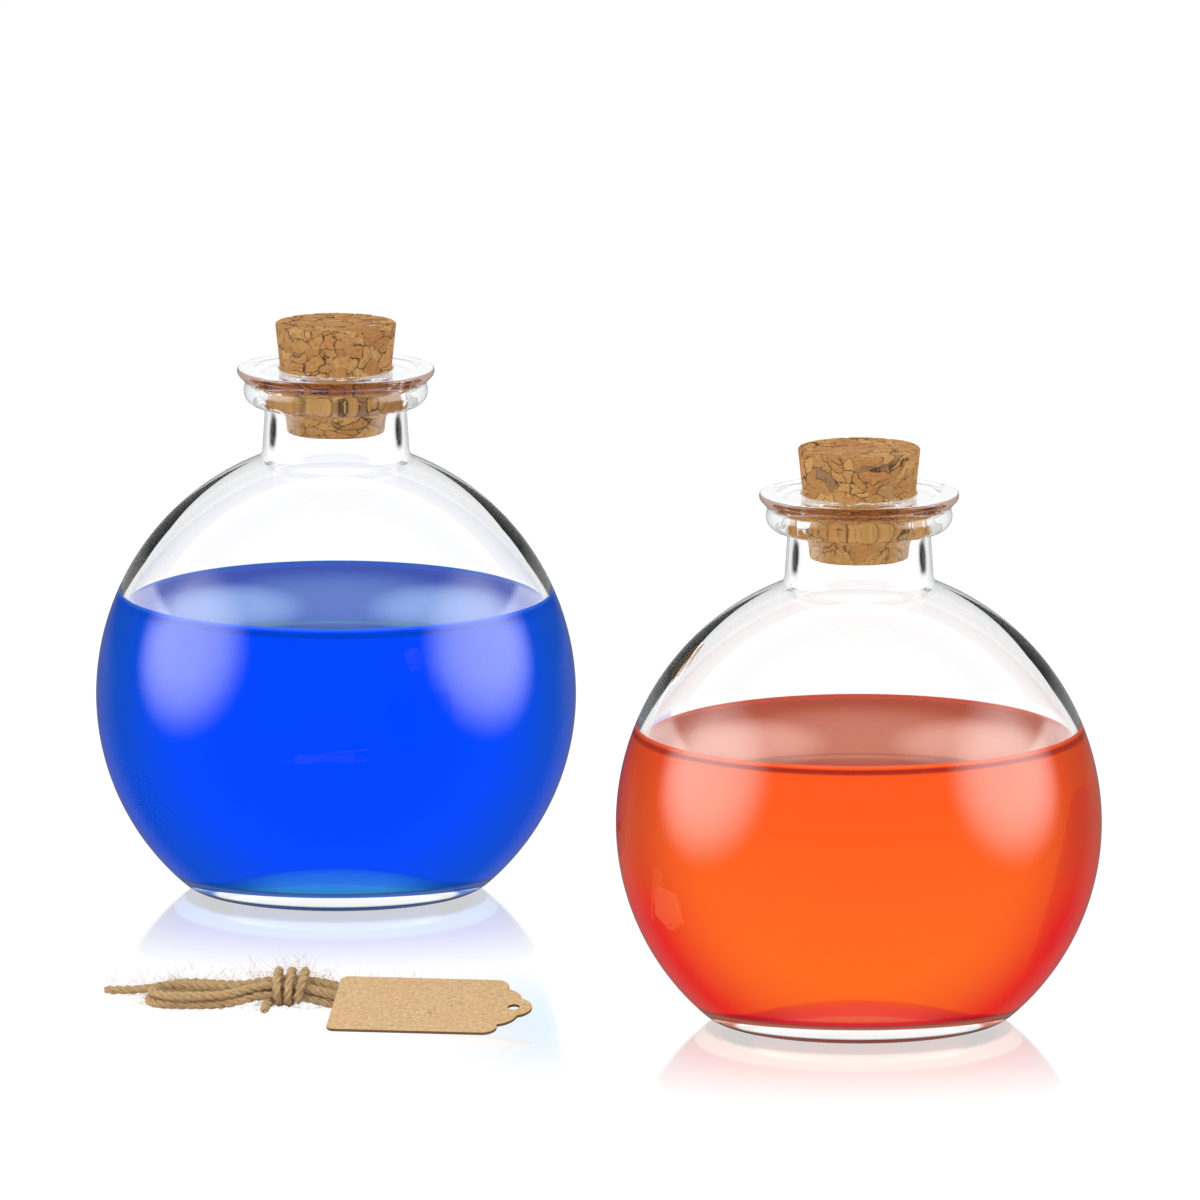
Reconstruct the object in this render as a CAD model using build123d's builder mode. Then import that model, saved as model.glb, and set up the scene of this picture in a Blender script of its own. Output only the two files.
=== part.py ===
from build123d import *
import os
from math import asin, atan2, cos, degrees, hypot, pi, sin, sqrt

# A set of two round corked bottles, one of blue and one of red liquid, with a hank of twine
# and a card tag for the message. Millimetres, +Z up. The origin is on the table, midway
# between the two bottles; the set is seen from the front along +Y.

# Where the bottles stand, each this far from the middle of the set
bottle_offset_x = 46.0
bottle_offset_y = 64.5

# Cork, a taper that the throat of the bottle matches
cork_top_radius = 10.75
cork_bottom_radius = 8.7
cork_length = 19.5
cork_stands_proud = 8.0
cork_edge_radius = 0.4
cork_clearance = 0.1

# Glass body: a ball, a little taller than wide, cut off flat at the foot
belly_radius = 42.5
belly_height = 35.0
foot_radius = 25.2
heel_radius = 8.0
shoulder_rise = 42.7
glass_wall = 2.2
floor_thickness = 4.6
inner_heel_radius = 2.0
punt_radius = 18.0
punt_rise = 6.0
hump_radius = 23.5
hump_rise = 6.8

# Neck, with the bead and the lip round its mouth
throat_length = 6.0
throat_step = 1.2
bore_relief = 1.0
bore_root_radius = 2.0
neck_wall = 2.1
neck_flare = 0.6
neck_root_radius = 2.0
neck_length = 9.5
bead_reach = 3.8
bead_thickness = 2.9
bead_bulge = 1.5
groove_depth = 0.3
groove_width = 0.9
lip_reach = 1.2
lip_flare_height = 1.6
lip_thickness = 1.0
lip_edge_radius = 0.5

# Liquid levels above the table
blue_level = 52.4
red_level = 51.2

# Where the hank and the tag lie, and how they are turned
lay_x = -54.0
lay_y = -52.0
lay_angle = -8.0

# Twine hank: loops drawn in at the waist, two layers deep, with a tail at each end
twine_diameter = 1.6
twine_gap = 0.42
loop_gap = 0.65
layer_gap = 0.55
hank_length = 52.0
hank_width = 16.0
lobe_end_length = 7.5
hank_turns = 3.25
climb_start_turns = 1.5
climb_turns = 0.25
tail_reach = 7.5
tail_spread = 1.2
tail_slant = 9.0
point_spacing_share = 0.25

# Twine tie: the wraps round the waist of the hank
tie_turns = 3
tie_gap = 0.5
tie_tail = 3.5

# Card tag: five scallops at one end, the middle one with a hole
tag_length = 35.0
tag_width = 21.0
tag_thickness = 0.5
tag_corner_radius = 1.4
tag_hole_radius = 1.05
tag_overlap = 8.5
tag_lap = 4.5
tag_clearance = 0.3
side_end_share = 0.775
hole_share = 0.909
corner_peak_shares = (0.836, 0.459)
outer_cusp_shares = (0.849, 0.338)
scallop_peak_shares = (0.912, 0.262)
inner_cusp_shares = (0.937, 0.158)

overrun = 5.0

blue_place = (-bottle_offset_x, bottle_offset_y)
red_place = (bottle_offset_x, -bottle_offset_y)

# Heights up the bottle, from the shoulder to the rim
shoulder_height = belly_height + shoulder_rise
bead_under_height = shoulder_height + neck_length
bead_height = bead_under_height + bead_thickness
groove_height = bead_height + groove_width
lip_height = groove_height + lip_flare_height
rim_height = lip_height + lip_thickness
throat_height = rim_height - throat_length
cork_top = rim_height + cork_stands_proud
cork_bottom = cork_top - cork_length


def cork_radius(height):
    taper = (cork_top_radius - cork_bottom_radius) / cork_length
    return cork_bottom_radius + taper * (height - cork_bottom)


# Radii of the mouth, from the cork outwards
throat_radius = cork_radius(throat_height) + cork_clearance
bore_radius = throat_radius + bore_relief
neck_top_radius = bore_radius + neck_wall
neck_bottom_radius = neck_top_radius + neck_flare
bead_radius = neck_top_radius + bead_reach
groove_radius = bead_radius - groove_depth
lip_radius = bead_radius + lip_reach


def section_plane(place):
    return Plane(origin=(place[0], place[1], 0), x_dir=(1, 0, 0), z_dir=(0, -1, 0))


def upright(place):
    return Axis((place[0], place[1], 0), (0, 0, 1))


def nearest_corner(section, point):
    return section.vertices().sort_by_distance(point)[0]


def save(piece, name):
    piece.part.label = name
    export_step(piece.part, f"parts/{name}.step")
    print(name, "volume", round(piece.part.volume, 1))


# Radius of the arc that stands upright at the belly and passes through the point
def belly_arc_radius(radius, height):
    inward, rise = belly_radius - radius, height - belly_height
    return (inward**2 + rise**2) / (2 * inward)


# Half outline of the glass, radius against height
def draw_outside():
    foot, belly = (foot_radius, 0), (belly_radius, belly_height)
    shoulder = (neck_bottom_radius, shoulder_height)
    bead_under = (neck_top_radius, bead_under_height)
    bead, groove = (bead_radius, bead_height), (groove_radius, groove_height)
    lip, lip_edge = (lip_radius, lip_height), (lip_radius, rim_height)
    punt_top, punt_edge, rim_middle = (0, punt_rise), (punt_radius, 0), (0, rim_height)
    TangentArc(punt_top, punt_edge, tangent=(1, 0))
    Line(punt_edge, foot)
    TangentArc(belly, foot, tangent=(0, -1))
    TangentArc(belly, shoulder, tangent=(0, 1))
    Line(shoulder, bead_under)
    SagittaArc(bead_under, bead, -bead_bulge)
    Line(bead, groove)
    Line(groove, lip)
    Polyline(lip, lip_edge, rim_middle, punt_top)


# Ends of the two arcs of the hollow, which run parallel to the glass outside
def hollow_ends():
    lower = belly_arc_radius(foot_radius, 0)
    upper = belly_arc_radius(neck_bottom_radius, shoulder_height)
    floor_drop = belly_height - floor_thickness
    floor_reach = sqrt((lower - glass_wall) ** 2 - floor_drop**2)
    bore_reach = bore_radius - belly_radius + upper
    bore_rise = sqrt((upper - glass_wall) ** 2 - bore_reach**2)
    floor_edge = (belly_radius - lower + floor_reach, floor_thickness)
    return floor_edge, (bore_radius, belly_height + bore_rise)


# Half outline of the hollow, with the throat cut for the cork
def draw_hollow(floor_edge, bore_root):
    hump_top, hump_edge = (0, floor_thickness + hump_rise), (hump_radius, floor_thickness)
    belly = (belly_radius - glass_wall, belly_height)
    bore_top = (bore_radius, throat_height - throat_step)
    throat = (throat_radius, throat_height)
    above = rim_height + overrun
    mouth = (cork_radius(above) + cork_clearance, above)
    TangentArc(hump_top, hump_edge, tangent=(1, 0))
    Line(hump_edge, floor_edge)
    TangentArc(belly, floor_edge, tangent=(0, -1))
    TangentArc(belly, bore_root, tangent=(0, 1))
    Polyline(bore_root, bore_top, throat, mouth, (0, above), hump_top)


def revolve_hollow(place, mode):
    floor_edge, bore_root = hollow_ends()
    with BuildSketch(section_plane(place)) as hollow:
        with BuildLine():
            draw_hollow(floor_edge, bore_root)
        make_face()
        fillet(nearest_corner(hollow, floor_edge), inner_heel_radius)
        fillet(nearest_corner(hollow, bore_root), bore_root_radius)
    revolve(hollow.sketch, axis=upright(place), mode=mode)


def make_bottle(name, place):
    with BuildPart() as bottle:
        with BuildSketch(section_plane(place)) as outside:
            with BuildLine():
                draw_outside()
            make_face()
            fillet(nearest_corner(outside, (foot_radius, 0)), heel_radius)
            fillet(nearest_corner(outside, (neck_bottom_radius, shoulder_height)), neck_root_radius)
            fillet(nearest_corner(outside, (lip_radius, rim_height)), lip_edge_radius)
            fillet(nearest_corner(outside, (lip_radius, lip_height)), lip_edge_radius)
        revolve(axis=upright(place))
        revolve_hollow(place, Mode.SUBTRACT)
    save(bottle, name)


def make_liquid(name, place, level):
    with BuildPart() as liquid:
        revolve_hollow(place, Mode.ADD)
        split(bisect_by=Plane.XY.offset(level), keep=Keep.BOTTOM)
    save(liquid, name)


def make_cork(name, place):
    low_edge, top_edge = (cork_bottom_radius, cork_bottom), (cork_top_radius, cork_top)
    with BuildPart() as cork:
        with BuildSketch(section_plane(place)) as taper:
            with BuildLine():
                Polyline((0, cork_bottom), low_edge, top_edge, (0, cork_top), close=True)
            make_face()
            fillet(nearest_corner(taper, low_edge), cork_edge_radius)
            fillet(nearest_corner(taper, top_edge), cork_edge_radius)
        revolve(axis=upright(place))
    save(cork, name)


twine_radius = twine_diameter / 2
loop_step = twine_diameter + loop_gap
layer_step = twine_diameter + layer_gap
tie_step = twine_diameter + tie_gap
waist_lift = twine_diameter + twine_gap

# One turn passes the lobes (1, 1), the waist (0, 1) and the ends (1, 0) in this order
loop_sides = ((1, 1), (0, 1), (-1, 1), (-1, 0), (-1, -1), (0, -1), (1, -1), (1, 0))
stations = len(loop_sides)
back_waist, front_waist = loop_sides.index((0, 1)), loop_sides.index((0, -1))


# Points and headings of the hank, turned and moved to where it lies
def laid(x, y, z):
    return Vector(x, y, z).rotate(Axis.Z, lay_angle) + Vector(lay_x, lay_y, 0)


def heading(x, y, z=0):
    return Vector(x, y, z).rotate(Axis.Z, lay_angle).normalized()


# How far the loops have spiralled in at a station: in to the middle turn, then out again
def spiral_in(number):
    turns = number / stations
    return loop_step * min(turns, hank_turns - turns)


# Half width of the outer loop at the waist, where the innermost strands just clear each other
inner_strands = spiral_in(stations + back_waist) + spiral_in(stations + front_waist)
waist_half_width = (twine_diameter + twine_gap + inner_strands) / 2


# Where the twine is at a station, and the way it heads there
def hank_station(number):
    end_side, long_side = loop_sides[number % stations]
    climb = (number / stations - climb_start_turns) / climb_turns
    height = twine_radius + layer_step * min(max(climb, 0), 1)
    if long_side == 0:
        x = end_side * (hank_length / 2 - twine_radius - spiral_in(number))
        return laid(x, 0, height), heading(0, end_side)
    if end_side == 0:
        y = long_side * (waist_half_width - spiral_in(number))
        return laid(0, y, height + waist_lift), heading(-long_side, 0)
    x = end_side * (hank_length / 2 - lobe_end_length)
    y = long_side * (hank_width / 2 - twine_radius - spiral_in(number))
    return laid(x, y, height), heading(-long_side, 0)


# Two arcs from one point to the next that leave each along its own heading
def add_biarc(start, start_way, end, end_way):
    across, both_ways = end - start, start_way + end_way
    ahead = across.dot(both_ways)
    turned = 2 * (1 - start_way.dot(end_way))
    lever = across.dot(across) / (ahead + sqrt(ahead**2 + turned * across.dot(across)))
    meet = (start + end + (start_way - end_way) * lever) / 2
    TangentArc(start, meet, tangent=start_way)
    TangentArc(meet, end, tangent=(across - both_ways * lever).normalized())


def draw_hank():
    tail_x = hank_length / 2 + tail_reach
    tail_y = hank_width / 2 - twine_radius
    first_end = laid(tail_x, tail_y + tail_spread, twine_radius)
    last_end = laid(-tail_x, tail_y - tail_spread, twine_radius)
    way = Vector(-1, 0, 0).rotate(Axis.Z, lay_angle + tail_slant)
    here = first_end + way * twine_diameter
    Line(first_end, here)
    for number in range(round(hank_turns * stations) + 1):
        there, there_way = hank_station(number)
        add_biarc(here, way, there, there_way)
        here, way = there, there_way
    end_way = heading(-1, 0)
    landing = last_end - end_way * twine_diameter
    add_biarc(here, way, landing, end_way)
    Line(landing, last_end)


# The tie runs flat under and over the waist, with a half turn down each side of it
def draw_tie():
    back = waist_half_width - spiral_in(back_waist)
    front = waist_half_width - spiral_in(front_waist)
    middle = twine_radius + waist_lift + layer_step / 2
    low, high = twine_radius, 2 * middle - twine_radius
    run, half_turn = back + front, pi * (high - low) / 2
    slope = tie_step / (2 * run + 2 * half_turn)
    corners = ((-front, low, 1), (back, low, 1), (back, high, -1), (-front, high, -1))
    x = -(tie_step * tie_turns + slope * run) / 2
    Line(laid(x - slope * tie_tail, -front - tie_tail, low), laid(x, -front, low))
    for corner in range(len(corners) * tie_turns + 1):
        y, z, side = corners[corner % len(corners)]
        next_y, next_z, next_side = corners[(corner + 1) % len(corners)]
        flat = side == next_side
        next_x = x + slope * (run if flat else half_turn)
        here, there = laid(x, y, z), laid(next_x, next_y, next_z)
        if flat:
            Line(here, there)
        else:
            add_biarc(here, heading(slope, side), there, heading(slope, next_side))
        x = next_x
    Line(laid(x, back, low), laid(x + slope * tie_tail, back + tie_tail, low))


# Points along a tube's path, a share of its diameter apart
def points_along(edges):
    points = []
    for edge in edges:
        count = max(2, round(edge.length / (twine_diameter * point_spacing_share)))
        points += [edge @ (i / count) for i in range(count)]
    return points


# Least gap between stretches of the twine that aren't next to each other along it
def least_gap(points):
    apart = round(pi / point_spacing_share)
    near = min((a - b).length for i, a in enumerate(points) for b in points[i + apart:])
    return near - twine_diameter


def make_twine(name, draw_route):
    with BuildPart() as twine:
        with BuildLine() as route:
            draw_route()
        with BuildSketch(Plane(origin=route.line @ 0, z_dir=route.line % 0)):
            Circle(twine_radius)
        sweep(path=route.wires()[0])
    save(twine, name)
    points = points_along(route.edges())
    length = sum(edge.length for edge in route.edges())
    print(name, "length", round(length, 1), "least gap", round(least_gap(points), 3))
    return points


# Where the tag starts along the hank, and where its front edge lies on the table
def tag_corner():
    front_loop = hank_width / 2 - twine_radius - spiral_in(stations / 2)
    return hank_length / 2 - lobe_end_length - tag_overlap, tag_lap - front_loop - tag_width


# Slope at which the tag clears every loop of the hank that its back edge leans on
def tag_slope(hank_points):
    left, front = tag_corner()
    slope = 0
    for point in hank_points:
        across = (point - laid(0, 0, 0)).rotate(Axis.Z, -lay_angle)
        along, back = across.X - left, across.Y - front
        if -twine_radius < along < tag_length and 0 < back < tag_width:
            away = hypot(back, across.Z)
            tube_slope = asin((twine_radius + tag_clearance) / away)
            slope = max(slope, atan2(across.Z, back) + tube_slope)
    return slope


def tag_point(shares, side):
    return shares[0] * tag_length, tag_width * (0.5 + side * shares[1])


def draw_tag():
    for side in (-1, 1):
        corner, side_end = (0, tag_point((0, 0.5), side)[1]), tag_point((side_end_share, 0.5), side)
        outer_cusp, inner_cusp = tag_point(outer_cusp_shares, side), tag_point(inner_cusp_shares, side)
        Line(corner, side_end)
        ThreePointArc(side_end, tag_point(corner_peak_shares, side), outer_cusp)
        ThreePointArc(outer_cusp, tag_point(scallop_peak_shares, side), inner_cusp)
    end_peak = (tag_length, tag_width / 2)
    ThreePointArc(tag_point(inner_cusp_shares, -1), end_peak, tag_point(inner_cusp_shares, 1))
    Line((0, 0), (0, tag_width))


def make_tag(name, hank_points):
    left, front = tag_corner()
    slope = tag_slope(hank_points)
    tilted = heading(0, -sin(slope), cos(slope))
    tag_plane = Plane(origin=laid(left, front, 0), x_dir=heading(1, 0), z_dir=tilted)
    with BuildPart() as tag:
        with BuildSketch(tag_plane) as outline:
            with BuildLine():
                draw_tag()
            make_face()
            for corner in ((0, 0), (0, tag_width)):
                fillet(nearest_corner(outline, corner), tag_corner_radius)
            with Locations((hole_share * tag_length, tag_width / 2)):
                Circle(tag_hole_radius, mode=Mode.SUBTRACT)
        extrude(amount=tag_thickness)
    save(tag, name)
    print(name, "slope", round(degrees(slope), 2))


os.makedirs("parts", exist_ok=True)
make_bottle("blue_bottle", blue_place)
make_bottle("red_bottle", red_place)
make_liquid("blue_liquid", blue_place, blue_level)
make_liquid("red_liquid", red_place, red_level)
make_cork("blue_cork", blue_place)
make_cork("red_cork", red_place)
hank_points = make_twine("twine_hank", draw_hank)
make_twine("twine_tie", draw_tie)
make_tag("paper_tag", hank_points)
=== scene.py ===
import bmesh
import bpy
import math
import random
from mathutils import Matrix, Vector


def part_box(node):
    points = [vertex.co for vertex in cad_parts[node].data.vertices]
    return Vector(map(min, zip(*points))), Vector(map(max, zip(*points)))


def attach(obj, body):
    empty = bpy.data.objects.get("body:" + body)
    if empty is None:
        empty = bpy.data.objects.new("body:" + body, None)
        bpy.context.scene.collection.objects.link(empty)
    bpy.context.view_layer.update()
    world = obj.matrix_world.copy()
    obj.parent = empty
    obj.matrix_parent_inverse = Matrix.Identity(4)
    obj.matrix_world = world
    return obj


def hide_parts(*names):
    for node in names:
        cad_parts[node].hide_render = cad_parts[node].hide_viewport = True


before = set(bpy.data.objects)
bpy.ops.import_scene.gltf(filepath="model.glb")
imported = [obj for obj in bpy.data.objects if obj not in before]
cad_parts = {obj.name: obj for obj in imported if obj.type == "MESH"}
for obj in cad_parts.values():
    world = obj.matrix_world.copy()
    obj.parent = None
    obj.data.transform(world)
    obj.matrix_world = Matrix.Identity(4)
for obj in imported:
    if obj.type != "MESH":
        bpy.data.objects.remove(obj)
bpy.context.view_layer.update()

mm = 0.001
up = Vector((0, 0, 1))
pureWhite, pureBlack = (1, 1, 1, 1), (0, 0, 0, 1)
print("frame loaded:", ", ".join(sorted(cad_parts)))


# Nodes and node groups

# A value that is a socket is linked, any other is set
def setInputs(tree, node, inputs):
    for name, value in inputs.items():
        if isinstance(value, bpy.types.NodeSocket):
            tree.links.new(value, node.inputs[name])
        else:
            node.inputs[name].default_value = value


def addNode(tree, kind, inputs=None, **settings):
    node = tree.nodes.new(kind)
    for name, value in settings.items():
        setattr(node, name, value)
    setInputs(tree, node, inputs or {})
    return node


def calc(tree, operation, *values):
    return addNode(tree, "ShaderNodeMath", dict(enumerate(values)), operation=operation).outputs[0]


def chained(tree, operation, result, *others):
    for value in others:
        result = calc(tree, operation, result, value)
    return result


def times(tree, *values):
    return chained(tree, "MULTIPLY", *values)


def most(tree, *values):
    return chained(tree, "MAXIMUM", *values)


def minus(tree, first, second):
    return calc(tree, "SUBTRACT", first, second)


def isAbove(tree, value, limit):
    return calc(tree, "GREATER_THAN", value, limit)


def isBelow(tree, value, limit):
    return calc(tree, "LESS_THAN", value, limit)


# For the light path's depths, which are whole numbers
def isCount(tree, value, count):
    return calc(tree, "COMPARE", value, count, 0.5)


def vectorCalc(tree, operation, *values):
    inputs = dict(enumerate(values))
    if operation == "SCALE":
        inputs = {0: values[0], "Scale": values[1]}
    node = addNode(tree, "ShaderNodeVectorMath", inputs, operation=operation)
    return node.outputs["Value" if operation in ("DOT_PRODUCT", "LENGTH", "DISTANCE") else "Vector"]


def mixColour(tree, factor, first, second, blend="MIX"):
    inputs = {0: factor, 6: first, 7: second}
    return addNode(tree, "ShaderNodeMix", inputs, data_type="RGBA", blend_type=blend).outputs[2]


# Colours laid over the first one, each by its share
def layered(tree, colour, *layers):
    for share, tint in layers:
        colour = mixColour(tree, share, colour, tint)
    return colour


def mixValue(tree, share, first, second):
    return addNode(tree, "ShaderNodeMix", {0: share, 2: first, 3: second}, data_type="FLOAT").outputs[0]


def mixShader(tree, share, first, second):
    return addNode(tree, "ShaderNodeMixShader", {0: share, 1: first, 2: second}).outputs[0]


def mapRange(tree, value, fromLow, fromHigh, toLow=0.0, toHigh=1.0, smooth=True):
    inputs = {"Value": value, "From Min": fromLow, "From Max": fromHigh, "To Min": toLow, "To Max": toHigh}
    kind = "SMOOTHSTEP" if smooth else "LINEAR"
    return addNode(tree, "ShaderNodeMapRange", inputs, interpolation_type=kind).outputs[0]


# Up between the first two limits and down again between the other two
def band(tree, value, rising, risen, falling, fallen):
    return times(tree, mapRange(tree, value, rising, risen), mapRange(tree, value, falling, fallen, 1.0, 0.0))


def squareOf(tree, value, middle, half):
    away = calc(tree, "DIVIDE", minus(tree, value, middle), half)
    return times(tree, away, away)


def split(tree, vector):
    return addNode(tree, "ShaderNodeSeparateXYZ", {0: vector}).outputs


def noise(tree, place, scale, detail):
    return addNode(tree, "ShaderNodeTexNoise", {"Vector": place, "Scale": scale, "Detail": detail}).outputs


# Shifts to all sides, of up to half the given size
def shifts(tree, place, scale, detail, size):
    swing = vectorCalc(tree, "SUBTRACT", noise(tree, place, scale, detail)["Color"], (0.5, 0.5, 0.5))
    return vectorCalc(tree, "SCALE", swing, size)


def objectPlace(tree):
    return addNode(tree, "ShaderNodeTexCoord").outputs["Object"]


def lightPath(tree):
    return addNode(tree, "ShaderNodeLightPath").outputs


# How far from square on a surface is seen
def slantOf(tree):
    return addNode(tree, "ShaderNodeLayerWeight", {"Blend": 0.5}).outputs["Facing"]


def newGroup(name, kind, inputs, outputs):
    tree = bpy.data.node_groups.new(name, kind)
    for inOut, sockets in (("INPUT", inputs), ("OUTPUT", outputs)):
        for socketName, (socketKind, default) in sockets.items():
            socket = tree.interface.new_socket(name=socketName, in_out=inOut, socket_type="NodeSocket" + socketKind)
            if default is not None:
                socket.default_value = default
    return tree, addNode(tree, "NodeGroupInput").outputs, addNode(tree, "NodeGroupOutput").inputs


# A Geometry Nodes tree that takes a shape and its finish, and has more inputs by name
def newShapeTree(name, inputs):
    shape, finish = {"Geometry": ("Geometry", None)}, {"Finish": ("Material", None)}
    return newGroup(name, "GeometryNodeTree", {**shape, **inputs, **finish}, shape)


def endShapeTree(tree, geometry, finish, wanted):
    solid = addNode(tree, "GeometryNodeRealizeInstances", {"Geometry": geometry}).outputs[0]
    done = addNode(tree, "GeometryNodeSetMaterial", {"Geometry": solid, "Material": finish})
    tree.links.new(done.outputs[0], wanted["Geometry"])
    return tree


def newMaterial(name):
    material = bpy.data.materials.new(name)
    material.use_nodes = True
    return material, material.node_tree, material.node_tree.nodes["Principled BSDF"]


# Pieces

def linkPiece(name, mesh):
    piece = bpy.data.objects.new(name, mesh)
    bpy.context.scene.collection.objects.link(piece)
    return piece


def faceOutwards(mesh):
    work = bmesh.new()
    work.from_mesh(mesh)
    bmesh.ops.recalc_face_normals(work, faces=work.faces)
    work.to_mesh(mesh)
    work.free()


# Adds a Geometry Nodes modifier with its inputs set by their identifiers
def addTree(piece, tree, inputs):
    modifier = piece.modifiers.new(tree.name, "NODES")
    modifier.node_group = tree
    identifiers = {item.name: item.identifier for item in tree.interface.items_tree if item.in_out == "INPUT"}
    for name, value in inputs.items():
        modifier[identifiers[name]] = value


def evaluatedMesh(piece):
    bpy.context.view_layer.update()
    return bpy.data.meshes.new_from_object(piece.evaluated_get(bpy.context.evaluated_depsgraph_get()))


# Turns what the modifiers made into a plain mesh, in place of the piece that carried them
def finishPiece(name, source, finish):
    mesh = evaluatedMesh(source)
    mesh.name = name
    bpy.data.objects.remove(source)
    if not mesh.materials:
        mesh.materials.append(finish)
    return linkPiece(name, mesh)


# A cord's centreline as smooth points, from its route
def smoothLine(name, route):
    curve = bpy.data.curves.new(name, "CURVE")
    curve.dimensions = "3D"
    curve.resolution_u = 6
    spline = curve.splines.new("NURBS")
    spline.points.add(len(route) - 1)
    for point, place in zip(spline.points, route):
        point.co = (*place, 1)
    spline.order_u = 3
    spline.use_endpoint_u = True
    holder = linkPiece(name, curve)
    mesh = evaluatedMesh(holder)
    points = [vertex.co.copy() for vertex in mesh.vertices]
    bpy.data.objects.remove(holder)
    bpy.data.meshes.remove(mesh)
    return points


# Camera

viewSetup = {
    "distance": 10.0,
    "tiltDown": 10.0,
    "frameWidth": 211.05 * mm,  # what the photograph spans at the set's middle
    "target": (0.74 * mm, 0, 63.15 * mm),
    "sensor": 36.0,
}


def makeCamera(setup):
    camera = bpy.data.cameras.new("photoCamera")
    camera.sensor_width = setup["sensor"]
    camera.lens = setup["sensor"] * setup["distance"] / setup["frameWidth"]
    camera.clip_end = 100
    holder = bpy.data.objects.new("photoCamera", camera)
    tilt = math.radians(setup["tiltDown"])
    away = Vector((0, -math.cos(tilt), math.sin(tilt))) * setup["distance"]
    holder.location = Vector(setup["target"]) + away
    holder.rotation_euler = (math.pi / 2 - tilt, 0, 0)
    bpy.context.scene.collection.objects.link(holder)
    bpy.context.scene.camera = holder


makeCamera(viewSetup)
print("camera placed")


# Twine: the hank and the tie round its waist

twine = {
    "diameter": 1.6 * mm,
    "plies": 3,
    "plyTwist": 5.2 * mm,  # length of one full twist
    "plySides": 10,
    "plyRadius": 0.27,  # this and the next as shares of the diameter
    "plyOrbit": 0.235,
    "tipSize": 0.55,
    "tipRings": 3,
    "lowest": 0.02 * mm,
    "step": 0.45 * mm,
    "middle": (-54 * mm, -52 * mm),
    "angle": -8.0,
}

hank = {
    "reach": 25.2 * mm,  # from the middle to the outer loop's end
    "waist": 3.25 * mm,
    "bulge": 13.6 * mm,
    "fullest": 0.385,  # the loop's bulge where it is widest, as a share, and that place's sine
    "fullestSine": 0.57,
    "startAngle": 35.0,
    "endAngle": 1225.0,
    "angleStep": 15.0,
    "loopStep": 1.9 * mm,
    "waistStep": 1.7 * mm,
    "layerStep": 1.75 * mm,
    "climbStart": 575.0,
    "climbEnd": 665.0,
    "lift": 1.75 * mm,  # over the tie, which runs underneath
    "liftFrom": 10 * mm,
    "liftTo": 3.6 * mm,
    "unevenReach": 1.3 * mm,
    "unevenBulge": 2.4 * mm,
    "tailReach": 8.3 * mm,
    "tailPoints": 4,
    "tailBow": 1.6 * mm,
    "seed": 5,
}

tie = {
    "turns": 3.0,
    "startAngle": -130.0,
    "anglePerPoint": 20.0,
    "width": 6.0 * mm,
    "halfWidth": 4.3 * mm,
    "halfHeight": 2.75 * mm,
    "slant": 1.1 * mm,
    "tail": 4.2 * mm,
}


def laid(x, y, z):
    turn = Matrix.Rotation(math.radians(twine["angle"]), 3, "Z")
    return turn @ Vector((x, y, z)) + Vector((*twine["middle"], 0))


def easeBetween(value, low, high):
    share = min(max((value - low) / (high - low), 0), 1)
    return share * share * (3 - 2 * share)


# Loops spiral in and out again, drawn in at the waist, and climb a layer half way
def hankRoute():
    chance = random.Random(hank["seed"])
    radius = twine["diameter"] / 2
    wholeTurns = (hank["endAngle"] - hank["startAngle"]) / 360
    halfTurns = int(2 * wholeTurns) + 2
    unevenReach = [chance.uniform(-1, 0.6) * hank["unevenReach"] for _ in range(halfTurns + 1)]
    unevenBulge = [chance.uniform(-1, 1) * hank["unevenBulge"] for _ in range(2 * halfTurns + 1)]
    route = []
    angle = hank["startAngle"]
    while angle <= hank["endAngle"]:
        turned = (angle - hank["startAngle"]) / 360
        inward = min(turned, wholeTurns - turned)
        theta = math.radians(angle)
        end = int((angle + 90) // 180)  # which end of the hank the loop is at
        side = int(angle // 90)
        reach = hank["reach"] - inward * hank["loopStep"] + unevenReach[end] * abs(math.cos(theta)) ** 2
        waist = hank["waist"] - inward * hank["waistStep"]
        bulge = hank["bulge"] - inward * (hank["loopStep"] - hank["fullestSine"] * hank["waistStep"]) / hank["fullest"]
        bulge += unevenBulge[side] * abs(math.sin(2 * theta))
        x = reach * math.cos(theta)
        y = waist * math.sin(theta) + bulge * math.sin(theta) * math.cos(theta) ** 2
        layer = hank["layerStep"] * easeBetween(angle, hank["climbStart"], hank["climbEnd"])
        lift = hank["lift"] * easeBetween(-abs(x), -hank["liftFrom"], -hank["liftTo"])
        route.append(laid(x, y, radius + layer + lift))
        angle += hank["angleStep"]
    return hankTail(route, 1) + route + hankTail(route[::-1], -1)[::-1]


# A loose end that runs out along the hank, first point at its tip
def hankTail(route, side):
    turn = Matrix.Rotation(math.radians(-twine["angle"]), 3, "Z")
    first = turn @ (route[0] - Vector((*twine["middle"], 0)))
    radius = twine["diameter"] / 2
    tipX = side * (hank["reach"] + hank["tailReach"])
    points = []
    for number in range(hank["tailPoints"]):
        share = number / hank["tailPoints"]
        x = tipX + (first.x - tipX) * share
        y = first.y + side * hank["tailBow"] * math.sin(share * math.pi) * (1 - share)
        points.append(laid(x, y, radius + (first.z - radius) * share ** 2))
    return points


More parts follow.
